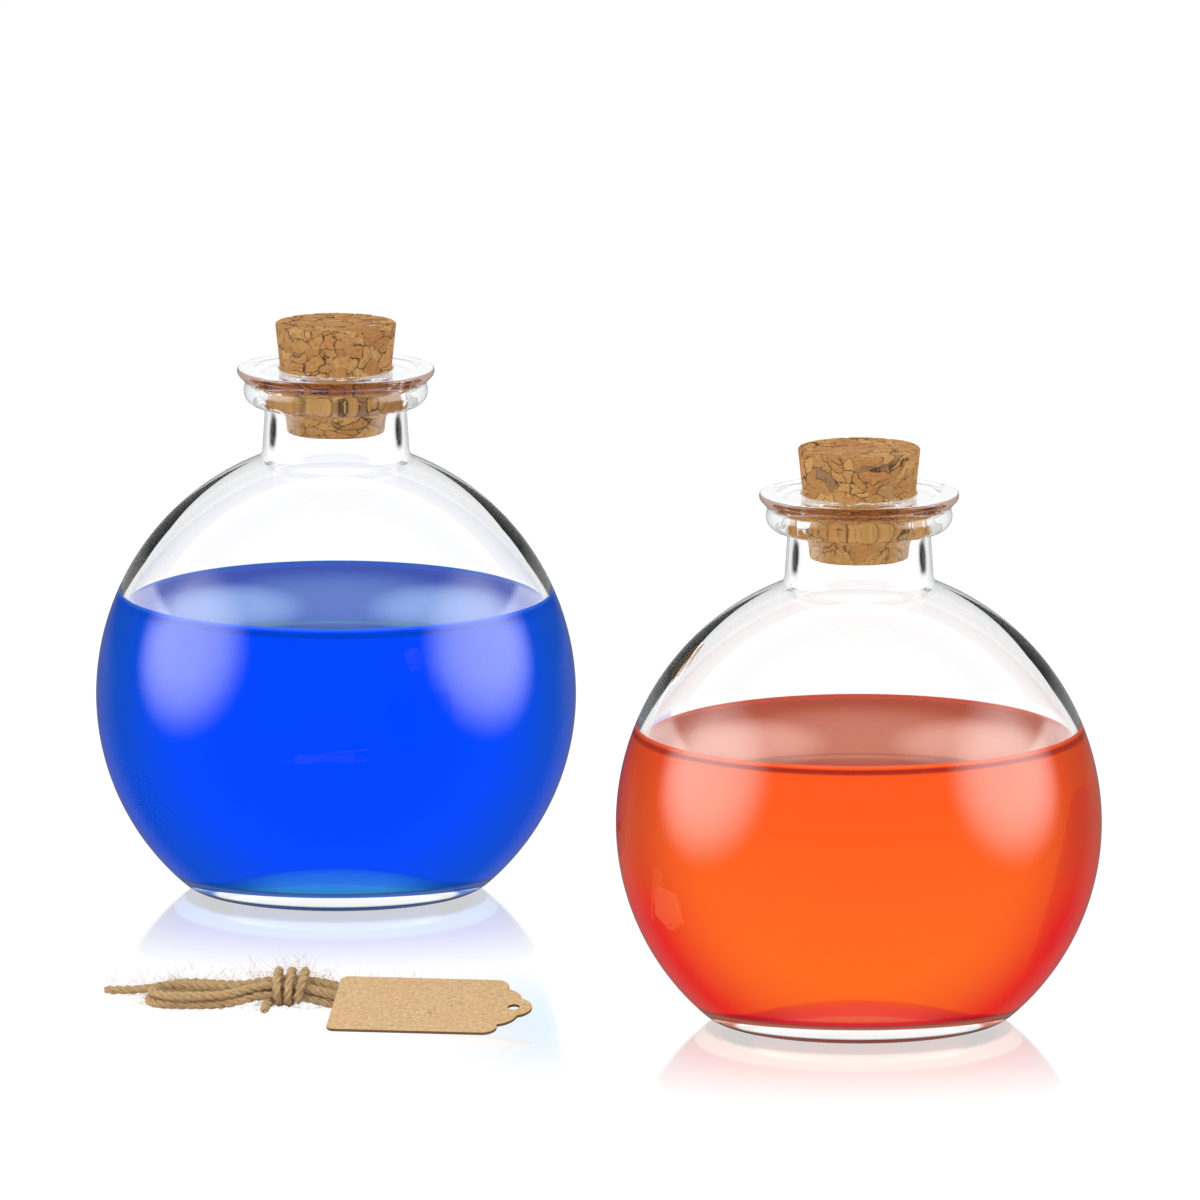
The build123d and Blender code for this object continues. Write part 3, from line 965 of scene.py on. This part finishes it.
# Coloured water, lit from behind by a painted glow, emission on the inside of its far wall, which keeps the images of
# other things faint, with painted glow on its bed and underside, painted highlights on top and painted shade at its
# sides
liquidLight = {
    "bedBelow": -30 * mm,  # heights below the water's level
    "levelAbove": -1 * mm,
    "bedUpward": 0.7,  # how much each surface faces up, from 1 to -1
    "underUpward": -0.9,
    "wallUpward": 0.985,
    "outwardFrom": 6 * mm,
    "clearBelow": (4.5 * mm, 6.0 * mm),
    # The bed glows with painted light, with a painted highlight ring and painted shade towards its sides
    "bedBright": (22.6 * mm, 24.8 * mm, 26.4 * mm, 27.2 * mm),  # radii of the paler ring on the bed
    "bedSides": (7 * mm, 19 * mm),
    # Painted light on the water's underside: white in the middle, as of the white seen through the glass base
    "baseWhite": (14.5 * mm, 16.5 * mm),  # radii where the white seen through the glass base gives way
    "farClearness": (0.005, 0.005, 0.005, 1),  # squared share of what shows through the glow
    # Painted shade: the water's sides darker where seen at a slant, with another tint lower down
    "sideFrom": (0.10, 0.245),
    "sideHeights": (20 * mm, 38 * mm),
    # painted shade: the water's top darkened
    "topShade": (0.35, 0.35, 0.35, 1),
    # Painted highlights on the water's top, as of soft lights
    "topHighlights": ((-19 * mm, -13 * mm, 12 * mm, 24 * mm, 0.28), (19 * mm, -13 * mm, 12 * mm, 24 * mm, 0.28),
                (0, -6 * mm, 22 * mm, 30 * mm, 0.17)),  # x, y, half sizes and strength of the soft lights on top
    "highlightFade": 1.6,
    # Painted highlight: a pale line round the outside at the water's level
    "highlightLine": (-0.15 * mm, 0.05 * mm, 0.0, 0.06),
    # Painted glow in the meniscus round the top's edge
    "rimFrom": (0.03 * mm, 0.12 * mm),
    # Painted shade: a dark line round the outside just under the water's level
    "darkLine": (-1.5 * mm, -0.9 * mm, -0.5 * mm, -0.15 * mm),
    "film": (0.85, 0.88, 0.95, 1),
}


def makeLiquidFinish(name, look, axis):
    material, tree, shader = newMaterial(name)
    path, shape = lightPath(tree), addNode(tree, "ShaderNodeNewGeometry").outputs
    fromAxis = vectorCalc(tree, "SUBTRACT", objectPlace(tree), axis)
    sideways = vectorCalc(tree, "MULTIPLY", fromAxis, (1, 1, 0))
    spot, upward = split(tree, fromAxis), split(tree, shape["Normal"])["Z"]
    l, top = liquidLight, look["level"]
    above = minus(tree, spot["Z"], top)
    inside, mirrored = shape["Backfacing"], isAbove(tree, path["Glossy Depth"], 0.5)
    front, low = minus(tree, 1.0, inside), isBelow(tree, above, l["bedBelow"])
    bed = times(tree, low, inside, isAbove(tree, upward, l["bedUpward"]), minus(tree, 1.0, mirrored))
    under = times(tree, low, front, isBelow(tree, upward, l["underUpward"]))
    outward = isAbove(tree, vectorCalc(tree, "DOT_PRODUCT", shape["Normal"], sideways), l["outwardFrom"])
    outward = times(tree, outward, front)
    level = times(tree, minus(tree, front, outward), isAbove(tree, above, l["levelAbove"]))
    far = times(tree, inside, mapRange(tree, spot["Z"], *l["clearBelow"]),
                isBelow(tree, calc(tree, "ABSOLUTE", upward), l["wallUpward"]))
    # painted shade on the sides
    side = times(tree, mapRange(tree, slantOf(tree), *l["sideFrom"]), outward)
    sideShade = mixColour(tree, mapRange(tree, spot["Z"], *l["sideHeights"]), look["sideLow"], look["side"])
    # painted shade line under the level
    shadeLine = times(tree, band(tree, above, *l["darkLine"]), outward)
    # painted glow in the meniscus
    meniscusGlow = times(tree, level, mapRange(tree, above, *l["rimFrom"]))
    # painted shade: reflections inside the water turned black; painted light: turned-back light shows white or the glow
    dim = times(tree, path["Is Reflection Ray"], isCount(tree, path["Transmission Depth"], 2.0), inside)
    returned = most(tree, comesBack(tree, path, 3.5), trapped(tree, path),
                    times(tree, comesBack(tree, path, 2.5), outward))
    returned = times(tree, returned, minus(tree, 1.0, dim))
    colour = layered(tree, pureWhite, (side, sideShade), (shadeLine, look["line"]), (level, l["topShade"]),
                     (meniscusGlow, pureBlack), (far, l["farClearness"]), (most(tree, bed, dim, returned, under), pureBlack))
    # painted highlights: white emission patches on the top
    topHighlights = 0.0
    for x, y, wide, deep, strength in l["topHighlights"]:
        gap = calc(tree, "ADD", squareOf(tree, spot["X"], x, wide), squareOf(tree, spot["Y"], y, deep))
        topHighlights = calc(tree, "ADD", topHighlights, mapRange(tree, gap, 0.0, l["highlightFade"], strength, 0.0))
    # painted highlight at the water's level
    pale = times(tree, mapRange(tree, above, *l["highlightLine"]), outward)
    white = calc(tree, "ADD", times(tree, level, topHighlights), pale)
    white = addNode(tree, "ShaderNodeCombineColor", {0: white, 1: white, 2: white}).outputs[0]
    # painted glow on the far wall's inside, shifting in colour with height, black for reflections inside the water
    glow = mixColour(tree, mapRange(tree, spot["Z"], 0.0, top), look["glowLow"], look["glowHigh"])
    glow = mixColour(tree, dim, glow, pureBlack)
    radius = vectorCalc(tree, "LENGTH", sideways)
    # painted glow on the bed, with a painted highlight ring and painted shade at its sides
    bedLight = mixColour(tree, band(tree, radius, *l["bedBright"]), look["bed"], look["bedHighlight"])
    outerBed = mapRange(tree, calc(tree, "ABSOLUTE", spot["X"]), *l["bedSides"])
    # painted light on the underside: white in the middle, then the dimmer base colour, baseGlow in reflections
    through = mixColour(tree, mapRange(tree, radius, *l["baseWhite"]), pureWhite, look["base"])
    # painted light: emission on the outer wall, far wall, bed and underside
    light = layered(tree, pureBlack, (outward, look["bloom"]), (far, glow),
                    (bed, mixColour(tree, outerBed, bedLight, look["bedSideShade"])),
                    (under, mixColour(tree, mirrored, through, look["baseGlow"])))
    light = mixColour(tree, 1.0, light, mixColour(tree, 1.0, white, look["highlightColour"], "MULTIPLY"), "ADD")
    light = layered(tree, light, (meniscusGlow, look["rim"]),
                    (returned, mixColour(tree, inside, pureWhite, look["glowLow"])))
    setInputs(tree, shader, {
        "Roughness": 0.0, "IOR": 1.333, "Transmission Weight": 1.0, "Specular Tint": pureBlack,
        "Base Color": colour, "Emission Color": light, "Emission Strength": 1.0})
    finishClear(tree, shader, passesThrough(tree, path), l["film"], look["depth"], look["density"])
    return material


# Chips of cork: their place is warped so that the edges are ragged
def makeChipGroup(kind, name):
    tree, given, wanted = newGroup(name, kind, {
        "Place": ("Vector", (0, 0, 0)), "Chip Size": ("Float", 300.0)},
        {"Edge": ("Float", None), "Chip": ("Color", None), "Warped": ("Vector", None)})
    place = given["Place"]
    warped = vectorCalc(tree, "ADD", place, shifts(tree, place, *cork["ragged"]))
    warped = vectorCalc(tree, "MULTIPLY", warped, cork["flatness"])
    warped = vectorCalc(tree, "ADD", warped, shifts(tree, place, *cork["curled"]))
    cells = {"Vector": warped, "Scale": given["Chip Size"], "Randomness": 1.0}
    edge = addNode(tree, "ShaderNodeTexVoronoi", cells, feature="DISTANCE_TO_EDGE").outputs["Distance"]
    chip = addNode(tree, "ShaderNodeTexVoronoi", cells, feature="F1").outputs["Color"]
    for name, result in (("Edge", edge), ("Chip", chip), ("Warped", warped)):
        tree.links.new(result, wanted[name])
    return tree


def makeCorkReliefTree():
    tree, given, wanted = newShapeTree("corkRelief", {
        "Chip Size": ("Float", 300.0), "Groove": ("Float", 0.0), "Rough": ("Float", 0.0)})
    place = addNode(tree, "GeometryNodeInputPosition").outputs[0]
    chips = addNode(tree, "GeometryNodeGroup", {"Place": place, "Chip Size": given["Chip Size"]},
                    node_tree=chipShapes).outputs
    parted = noise(tree, place, *cork["partedNoise"])[0]
    groove = times(tree, mapRange(tree, chips["Edge"], 0.0, cork["grooveWidth"], 1.0, 0.0),
                   mapRange(tree, parted, *cork["grooveParted"]), given["Groove"])
    rough = times(tree, minus(tree, noise(tree, place, *cork["roughNoise"])[0], 0.3), given["Rough"])
    depth = times(tree, calc(tree, "ADD", groove, rough), -1.0)
    inward = vectorCalc(tree, "SCALE", addNode(tree, "GeometryNodeInputNormal").outputs[0], depth)
    moved = addNode(tree, "GeometryNodeSetPosition", {"Geometry": given["Geometry"], "Offset": inward}).outputs[0]
    return endShapeTree(tree, moved, given["Finish"], wanted)


corkTints = {
    "dark": (0.48, 0.215, 0.06, 1),
    "pale": (0.68, 0.375, 0.125, 1),
    "orange": (0.55, 0.23, 0.07, 1),
    "orangeShare": (0.84, 0.90, 0.0, 0.5),
    "grey": (0.16, 0.10, 0.07, 1),
    "greyShare": (0.96, 0.98, 0.0, 0.6),
    "grain": (0.20, 0.085, 0.03, 1),
    "grainNoise": (1400.0, 4.0, 0.7, (0.42, 0.78), 0.75),
    "crack": (0.06, 0.025, 0.012, 1),
    "pore": (0.09, 0.04, 0.02, 1),
    "poreNoise": (1900.0, 2.0, 0.5, (0.66, 0.72), 1.0),
    # painted sheen on the cork seen through the glass
    "paintedSheen": (0.92, 0.91, 0.90, 1),
}


def makeCorkFinish():
    material, tree, shader = newMaterial("pressedCork")
    place, t = objectPlace(tree), corkTints
    chips = addNode(tree, "ShaderNodeGroup", {"Place": place, "Chip Size": cork["chipSize"]},
                    node_tree=chipColours).outputs
    tone = addNode(tree, "ShaderNodeSeparateColor", {0: chips["Chip"]}).outputs
    colour = layered(tree, t["dark"], (tone[0], t["pale"]), (mapRange(tree, tone[1], *t["orangeShare"]), t["orange"]),
                     (mapRange(tree, tone[2], *t["greyShare"]), t["grey"]))
    grain = mottle(tree, chips["Warped"], *t["grainNoise"], colour, t["grain"])
    parted = noise(tree, place, *cork["partedNoise"])[0]
    crack = times(tree, mapRange(tree, chips["Edge"], 0.0, cork["crackWidth"], 1.0, 0.0),
                  mapRange(tree, parted, *cork["crackParted"]))
    colour = mixColour(tree, crack, grain["Color"], t["crack"])
    colour = mottle(tree, place, *t["poreNoise"], colour, t["pore"])["Color"]
    # painted sheen: the cork seen through the glass at a slant turns pale, below the lip
    paintedSheen = times(tree, isCount(tree, lightPath(tree)["Transmission Depth"], 1.0),
                   mapRange(tree, slantOf(tree), *cork["sheenSlant"]),
                   mapRange(tree, split(tree, place)["Z"], *cork["sheenBelow"], 1.0, 0.0))
    colour = mixColour(tree, paintedSheen, colour, t["paintedSheen"])
    bump = addNode(tree, "ShaderNodeBump", {"Height": grain["Height"], "Strength": 0.5, "Distance": 0.1 * mm})
    setInputs(tree, shader, {"Roughness": 0.82, "Base Color": colour, "Normal": bump.outputs[0]})
    return material


chipShapes = makeChipGroup("GeometryNodeTree", "chipShapes")
chipColours = makeChipGroup("ShaderNodeTree", "chipColours")
corkRelief = makeCorkReliefTree()
clearGlass = makeGlass()
pressedCork = makeCorkFinish()
# Depth and density are each water's own colour; glow, bloom, rim, bed, base and highlight colours are painted light,
# side and line painted shade
liquids = {
    "blue": {
        "level": 52.4 * mm, "depth": (0.08, 0.815, 1.0, 1), "density": 65.0,
        "glowHigh": (0.0, 0.10, 1.0, 1), "glowLow": (0.004, 0.08, 1.0, 1), "bloom": (0.0, 0.0, 0.0, 1),
        "side": (0.4, 0.95, 0.34, 1), "sideLow": (0.3, 0.95, 0.5, 1),
        "line": (0.15, 0.75, 0.35, 1), "highlightColour": (0.58, 0.88, 0.95, 1), "rim": (0.03, 0.12, 0.45, 1),
        "bed": (0.08, 0.26, 0.85, 1), "bedHighlight": (0.55, 0.62, 0.97, 1), "bedSideShade": (0.002, 0.09, 0.50, 1),
        "base": (0.015, 0.075, 0.32, 1), "baseGlow": (0.25, 0.45, 1.0, 1),
    },
    "red": {
        "level": 51.2 * mm, "depth": (1.0, 0.923, 0.08, 1), "density": 65.0,
        "glowHigh": (1.0, 0.055, 0.0, 1), "glowLow": (1.0, 0.17, 0.0, 1), "bloom": (0.0, 0.0, 0.016, 1),
        "side": (0.45, 0.36, 0.9, 1), "sideLow": (0.75, 0.02, 0.1, 1),
        "line": (0.16, 0.08, 0.3, 1), "highlightColour": (0.92, 0.66, 0.62, 1), "rim": (0.50, 0.08, 0.045, 1),
        "bed": (0.90, 0.085, 0.115, 1), "bedHighlight": (1.0, 0.36, 0.42, 1), "bedSideShade": (0.50, 0.025, 0.02, 1),
        "base": (0.30, 0.05, 0.025, 1), "baseGlow": (1.0, 0.50, 0.35, 1),
    },
}


def axisOf(colour):
    low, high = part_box(colour + "_bottle")
    return (low.x + high.x) / 2, (low.y + high.y) / 2, 0


def makeBottle(colour):
    place = axisOf(colour)
    bottle = turnProfile(colour + "_glass", glassProfile(), place, glass["segments"], clearGlass)
    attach(bottle, "set")
    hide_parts(colour + "_bottle")
    look = liquids[colour]
    finish = makeLiquidFinish(colour + "Water", look, place)
    filling = turnProfile(colour + "_water", liquidProfile(look["level"]), place, liquid["segments"], finish)
    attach(filling, "set")
    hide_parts(colour + "_liquid")
    corkLow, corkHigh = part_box(colour + "_cork")
    stopper = turnProfile(colour + "_stopper", corkProfile(corkLow.z, corkHigh.z), place, cork["segments"],
                          pressedCork)
    addTree(stopper, corkRelief, {"Chip Size": cork["chipSize"], "Groove": cork["grooveDepth"],
                                  "Rough": cork["roughDepth"], "Finish": pressedCork})
    stopper = finishPiece(colour + "_pressed_cork", stopper, pressedCork)
    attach(stopper, colour + "_stopper")
    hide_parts(colour + "_cork")
    print(colour, "bottle made, faces", [len(piece.data.polygons) for piece in (bottle, filling, stopper)])


makeBottle("blue")
makeBottle("red")


# Card tag: kraft, with specks and darker cut edges

kraftTints = {
    "dark": (0.58, 0.36, 0.18, 1),
    "pale": (0.84, 0.59, 0.34, 1),
    "fineNoise": (1300.0, 5.0, 0.75, (0.3, 0.7), 1.0),
    "broad": (0.72, 0.47, 0.24, 1),
    "broadNoise": (90.0, 2.0, 0.5, (0.4, 0.7), 0.25),
    "speck": (0.10, 0.05, 0.02, 1),
    "speckScale": 210.0,
    "speckSize": (0.04, 0.07),
    "speckShare": (0.80, 0.82),
    "edge": (0.20, 0.11, 0.05, 1),
    "edgeFacing": (0.5, 0.9, 1.0, 0.0),
}


def makeKraft(tagNormal):
    material, tree, shader = newMaterial("kraftCard")
    place, t = objectPlace(tree), kraftTints
    fine = mottle(tree, place, *t["fineNoise"], t["dark"], t["pale"])
    colour = mottle(tree, place, *t["broadNoise"], fine["Color"], t["broad"])["Color"]
    specks = addNode(tree, "ShaderNodeTexVoronoi", {"Vector": place, "Scale": t["speckScale"]}, feature="F1").outputs
    chance = addNode(tree, "ShaderNodeSeparateColor", {0: specks["Color"]}).outputs[0]
    speck = times(tree, mapRange(tree, specks["Distance"], *t["speckSize"], 1.0, 0.0),
                  mapRange(tree, chance, *t["speckShare"]))
    normal = addNode(tree, "ShaderNodeNewGeometry").outputs["Normal"]
    facing = calc(tree, "ABSOLUTE", vectorCalc(tree, "DOT_PRODUCT", normal, tagNormal))
    colour = layered(tree, colour, (speck, t["speck"]), (mapRange(tree, facing, *t["edgeFacing"]), t["edge"]))
    bump = addNode(tree, "ShaderNodeBump", {"Height": fine["Height"], "Strength": 0.25, "Distance": 0.1 * mm})
    setInputs(tree, shader, {"Roughness": 0.85, "Base Color": colour, "Normal": bump.outputs[0]})
    return material


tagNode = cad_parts["paper_tag"]
largest = max(tagNode.data.polygons, key=lambda face: face.area)
tagNode.data.materials.clear()
tagNode.data.materials.append(makeKraft(tuple(largest.normal)))
print("tag finished")


# Floor, lamps and surroundings

stage = {
    "floorSize": 8.0,
    "lit": 0.035,  # share of the floor's white that shadows can take away
    "mirrored": (26 * mm, 95 * mm, 0.42, 0.0),  # from how near to how far from a bottle's axis, and how much
    "mirrorRoughness": 0.08,
    "world": 0.62,
    "backdrop": 1.06,
    "studio": 0.02,  # what first reflections see beside the soft boxes
    "bounced": 0.12,  # what light sees that was turned back beyond the wall, as off the water's surface
    "glow": (0.78, 1.0, 0.0, 6.0),  # of the soft boxes, from their edge to their middle
    "boxForward": -0.14,
    "boxHeight": 0.30,
    "boxSquash": 1.3,
    "ahead": (0.55, 0.9, 0.0, 0.16),  # what first reflections see behind the set
    "aheadHeights": (-0.1, 0.02, 1.0, 0.2),
    "whiteHeights": (0.04, 0.10),  # and in a white strip straight behind it
    "whiteWidth": (0.05, 0.12, 1.0, 0.0),
}


def makeFloor():
    size = stage["floorSize"]
    mesh = bpy.data.meshes.new("floor")
    mesh.from_pydata([(-size, -size, 0), (size, -size, 0), (size, size, 0), (-size, size, 0)], [], [(0, 1, 2, 3)])
    floor = linkPiece("floor", mesh)
    material, tree, shader = newMaterial("whiteFloor")
    mesh.materials.append(material)
    setInputs(tree, shader, {"Base Color": (0.9, 0.9, 0.9, 1), "Roughness": 1.0, "Specular IOR Level": 0.0})
    path, place, matt = lightPath(tree), objectPlace(tree), shader.outputs[0]
    white = addNode(tree, "ShaderNodeEmission", {"Color": pureWhite, "Strength": stage["backdrop"]}).outputs[0]
    clear = addNode(tree, "ShaderNodeBsdfTransparent").outputs[0]
    gloss = addNode(tree, "ShaderNodeBsdfGlossy", {
        "Color": pureWhite, "Roughness": stage["mirrorRoughness"]}).outputs[0]
    near = most(tree, *(mapRange(tree, vectorCalc(tree, "DISTANCE", place, axisOf(colour)), *stage["mirrored"])
                        for colour in ("blue", "red")))
    seen = mixShader(tree, near, mixShader(tree, stage["lit"], white, matt), gloss)
    sharp = most(tree, path["Is Glossy Ray"], path["Is Transmission Ray"])
    shown = mixShader(tree, sharp, mixShader(tree, path["Is Camera Ray"], matt, seen),
                      mixShader(tree, firstReflection(tree, path), white, clear))
    setInputs(tree, tree.nodes["Material Output"], {"Surface": shown})


# White all round, except to a first reflection, which sees a dark studio with a tall soft box at each side and the
# white backdrop at the back
def makeWorld():
    world = bpy.data.worlds.new("studio")
    bpy.context.scene.world = world
    world.use_nodes = True
    tree = world.node_tree
    path, s = lightPath(tree), stage
    way = split(tree, addNode(tree, "ShaderNodeTexCoord").outputs["Generated"])
    flattened = addNode(tree, "ShaderNodeCombineXYZ", {
        "X": way["X"], "Y": way["Y"],
        "Z": times(tree, minus(tree, way["Z"], s["boxHeight"]), s["boxSquash"])}).outputs[0]
    flattened = vectorCalc(tree, "NORMALIZE", flattened)
    glow = s["studio"]
    for side in (-1, 1):
        towards = Vector((side, s["boxForward"], 0)).normalized()
        facing = vectorCalc(tree, "DOT_PRODUCT", flattened, tuple(towards))
        glow = calc(tree, "ADD", glow, mapRange(tree, facing, *s["glow"]))
    ahead = times(tree, mapRange(tree, way["Y"], *s["ahead"]), mapRange(tree, way["Z"], *s["aheadHeights"]))
    whiteAhead = times(tree, mapRange(tree, way["Z"], *s["whiteHeights"], 0.0, s["backdrop"]),
                       mapRange(tree, calc(tree, "ABSOLUTE", way["X"]), *s["whiteWidth"]),
                       isAbove(tree, way["Y"], 0.5))
    bounced = times(tree, isAbove(tree, path["Glossy Depth"], 0.5), isCount(tree, path["Transmission Depth"], 4.0))
    behind = mixValue(tree, bounced, s["backdrop"], s["bounced"])
    seen = mixValue(tree, firstReflection(tree, path), behind, most(tree, glow, ahead, whiteAhead))
    sharp = most(tree, path["Is Camera Ray"], path["Is Glossy Ray"], path["Is Transmission Ray"])
    setInputs(tree, tree.nodes["Background"], {
        "Strength": mixValue(tree, sharp, s["world"], seen), "Color": pureWhite})


def makeLamp(name, place, size, power):
    lamp = bpy.data.lights.new(name, "AREA")
    lamp.size = size
    lamp.energy = power
    holder = bpy.data.objects.new(name, lamp)
    holder.location = place
    holder.rotation_euler = Vector(place).to_track_quat("Z", "Y").to_euler()
    holder.visible_glossy = False
    holder.visible_transmission = False
    bpy.context.scene.collection.objects.link(holder)


makeFloor()
makeWorld()
makeLamp("keyLamp", (-0.7, -0.8, 1.1), 0.7, 8.0)
makeLamp("fillLamp", (0.9, -0.5, 0.8), 0.7, 3.5)
bpy.context.scene.view_settings.view_transform = "Standard"
print("stage lit")
